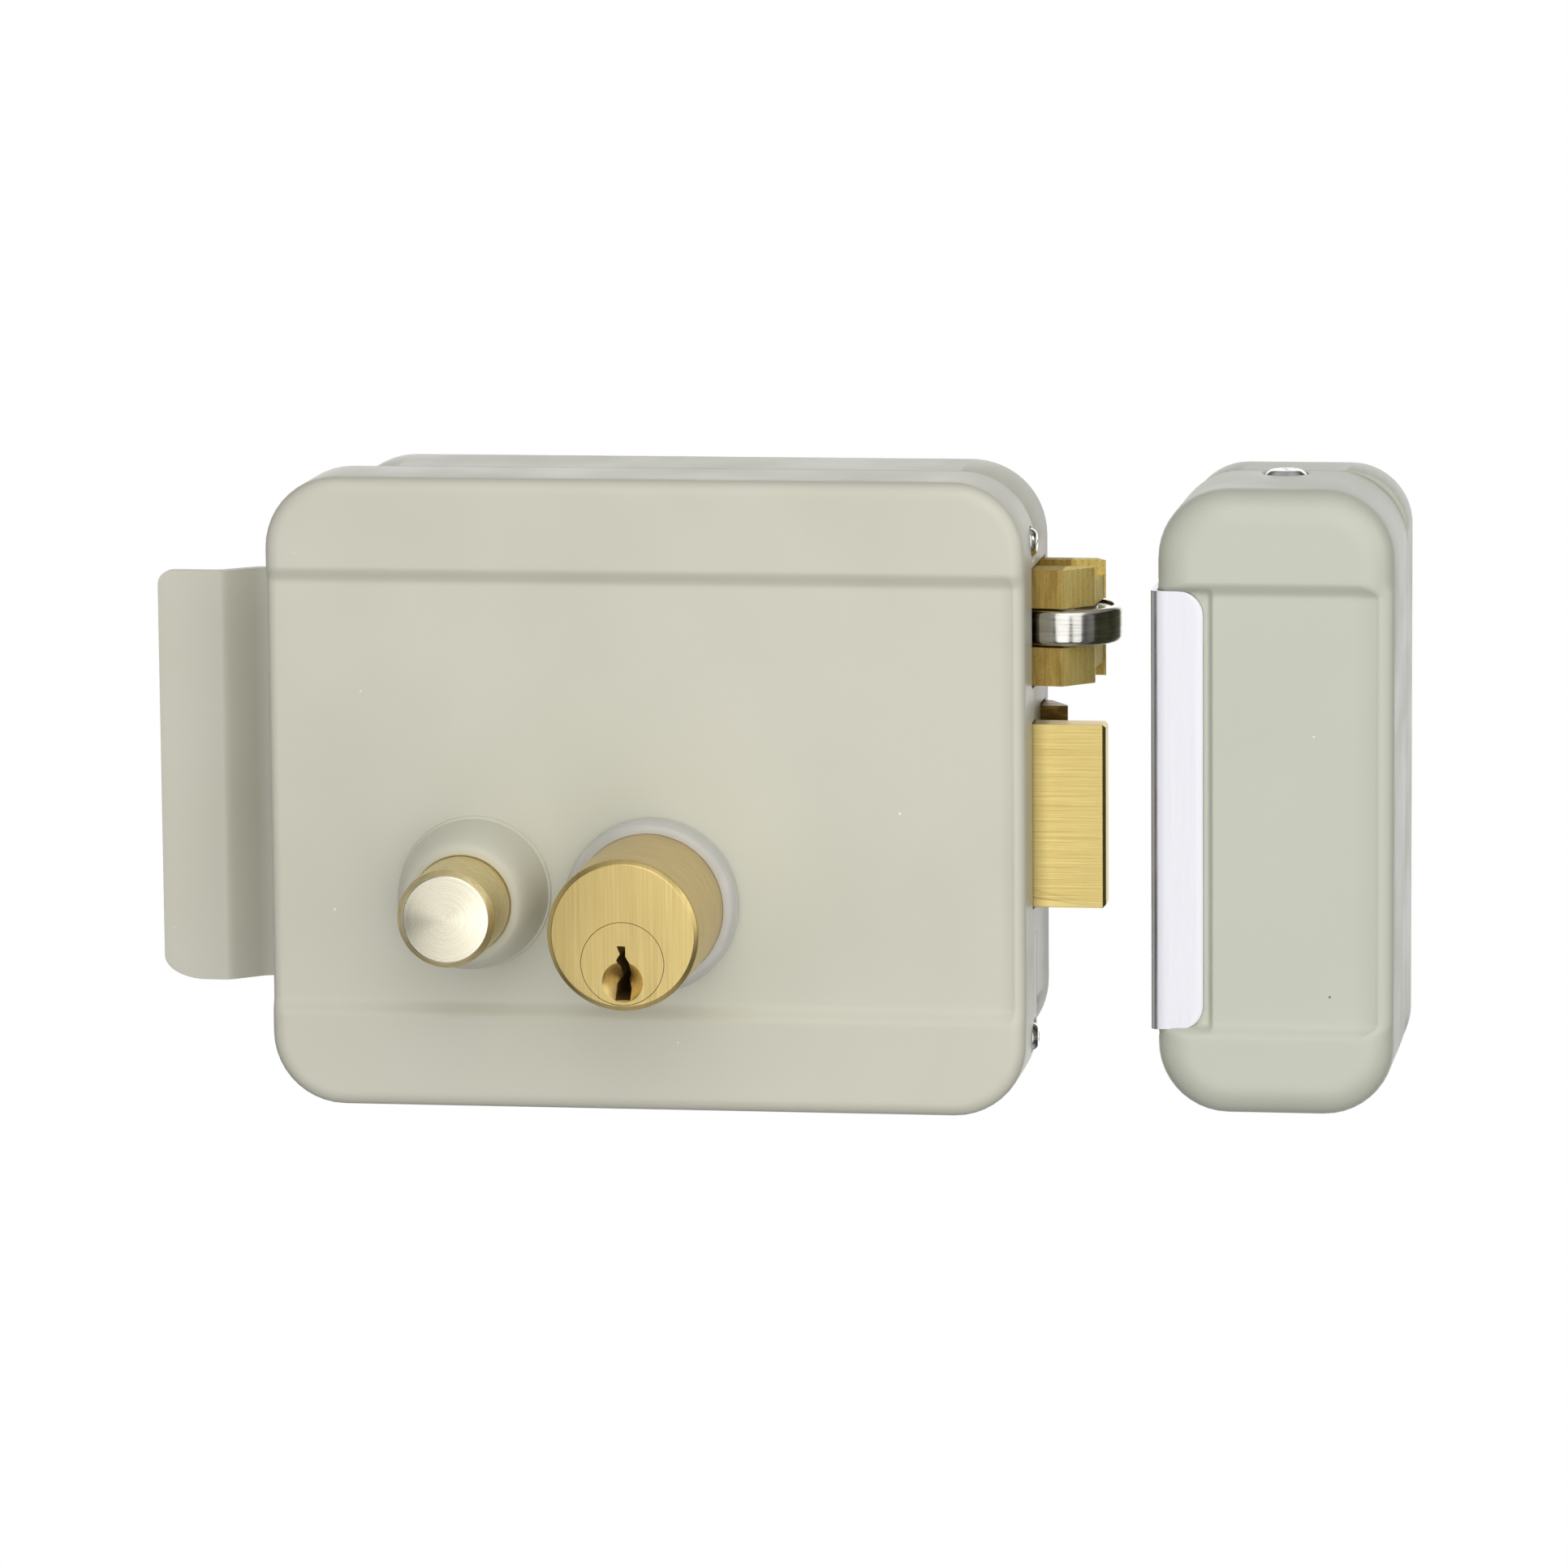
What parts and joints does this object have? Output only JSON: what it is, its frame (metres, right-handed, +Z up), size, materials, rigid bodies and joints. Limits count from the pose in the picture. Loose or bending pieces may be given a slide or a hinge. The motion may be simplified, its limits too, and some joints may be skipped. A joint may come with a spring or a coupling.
{
  "type": "electric rim lock with keeper",
  "caption": "Surface-mounted electric door lock with push button, key cylinder, roller latch, trigger and deadbolt, and its separate keeper box with a stainless strike strip.",
  "frame": {"origin": "centre of the four screw holes in the case's back face, in the plane of the door's face", "axes": "+X towards the keeper, +Y into the door (out of the case's back), +Z up; the button and key cylinder point to -Y"},
  "size_m": [0.2091, 0.066, 0.1056],
  "materials": {
    "paint": "light grey-beige stoving paint, satin",
    "satin_brass": "brushed satin brass",
    "spun_brass": "finely turned bright brass",
    "bolt_brass": "drawn brass with fine grain",
    "aged_brass": "darkened brass",
    "gear_brass": "machined brass",
    "clear_ring": "polished light ring",
    "bearing_steel": "ground bearing steel",
    "screw_steel": "bright nickel plate",
    "stainless": "finely brushed stainless",
    "zinc_steel": "zinc-plated steel",
    "spring_steel": "oiled spring wire",
    "bobbin_plastic": "black moulded plastic",
    "copper": "enamelled copper wire",
    "wire_sleeve": "red wire insulation"
  },
  "bodies": {
    "lock_case": {"front_cover": "paint", "rear_tray": "paint", "finger_pull": "paint", "pull_rivets": "zinc_steel", "cover_screws": "screw_steel", "button_collar": "paint", "collar_nut": "gear_brass", "button_bridge": "zinc_steel", "button_spring": "spring_steel", "cylinder_body": "satin_brass", "cylinder_ring": "clear_ring", "cylinder_bracket": "zinc_steel", "cylinder_screws": "screw_steel", "driver_pins": "gear_brass", "pin_springs": "spring_steel", "latch_spring": "spring_steel", "spring_bracket": "zinc_steel", "guide_posts": "zinc_steel", "trigger_spring": "spring_steel", "trigger_guide": "zinc_steel", "solenoid_yoke": "zinc_steel", "coil_bobbin": "bobbin_plastic", "coil_winding": "copper", "plunger_spring": "spring_steel", "lever_post": "zinc_steel", "lever_clip": "zinc_steel", "terminal_block": "bobbin_plastic", "terminal_screws": "screw_steel", "coil_leads": "wire_sleeve"},
    "latch_set": {"latch_bolt": "bolt_brass", "roller_pin": "bearing_steel", "roller_inner_ring": "bearing_steel", "roller_balls": "bearing_steel", "latch_tail": "zinc_steel", "latch_peg": "zinc_steel", "release_plate": "zinc_steel", "release_rivets": "zinc_steel"},
    "roller": {"roller_outer_ring": "bearing_steel"},
    "button_set": {"push_button": "spun_brass", "button_stem": "zinc_steel", "button_clip": "zinc_steel"},
    "key_plug": {"cylinder_plug": "satin_brass", "key_pins": "gear_brass", "plug_gear": "gear_brass", "plug_screw": "screw_steel"},
    "deadbolt_set": {"deadbolt": "bolt_brass", "deadbolt_tail": "zinc_steel", "deadbolt_rivets": "zinc_steel"},
    "trigger": {"trigger_bolt": "aged_brass"},
    "armature": {"plunger": "zinc_steel", "plunger_collar": "zinc_steel", "plunger_peg": "zinc_steel"},
    "lever": {"release_lever": "zinc_steel"},
    "keeper": {"keeper_cover": "paint", "keeper_base": "paint", "keeper_screws": "screw_steel", "strike_strip": "stainless", "strip_studs": "zinc_steel"}
  },
  "joints": [
    {"name": "latch_slide", "type": "slide", "parent": "lock_case", "child": "latch_set", "axis": [1, 0, 0], "range_m": [-0.012, 0], "stiffness_N_per_m": 300, "springref_m": 0.012, "deforming": ["latch_spring"]},
    {"name": "roller_spin", "type": "hinge", "parent": "latch_set", "child": "roller", "pos_m": [0.0676, -0.0142, 0.0271], "axis": [0, 0, 1], "continuous": true},
    {"name": "button_press", "type": "slide", "parent": "lock_case", "child": "button_set", "axis": [0, 1, 0], "range_m": [0, 0.006], "stiffness_N_per_m": 150, "springref_m": -0.006, "deforming": ["button_spring"]},
    {"name": "armature_slide", "type": "slide", "parent": "lock_case", "child": "armature", "axis": [1, 0, 0], "range_m": [-0.006, 0], "stiffness_N_per_m": 100, "springref_m": 0.005, "deforming": ["plunger_spring"]},
    {"name": "lever_swing", "type": "hinge", "parent": "lock_case", "child": "lever", "pos_m": [0.022, -0.0258, 0.047], "axis": [0, 1, 0], "range_deg": [0, 28.1]},
    {"name": "plug_turn", "type": "hinge", "parent": "lock_case", "child": "key_plug", "pos_m": [0.0013, -0.02, -0.0224], "axis": [0, 1, 0], "range_deg": [-90.1, 0]},
    {"name": "deadbolt_slide", "type": "slide", "parent": "lock_case", "child": "deadbolt_set", "axis": [1, 0, 0], "range_m": [-0.011, 0]},
    {"name": "trigger_slide", "type": "slide", "parent": "lock_case", "child": "trigger", "axis": [1, 0, 0], "range_m": [-0.0045, 0], "stiffness_N_per_m": 200, "springref_m": 0.008, "deforming": ["trigger_spring"]},
    {"name": "keeper_slide", "type": "slide", "parent": "lock_case", "child": "keeper", "axis": [1, 0, 0], "range_m": [-0.017, 0]}
  ],
  "couplings": [
    {"joint": "button_press", "follows": "latch_slide", "ratio": -0.5},
    {"joint": "armature_slide", "follows": "latch_slide", "ratio": 0.5},
    {"joint": "lever_swing", "follows": "latch_slide", "rad_per_m": -40.83},
    {"joint": "plug_turn", "follows": "deadbolt_slide", "rad_per_m": 142.86}
  ]
}
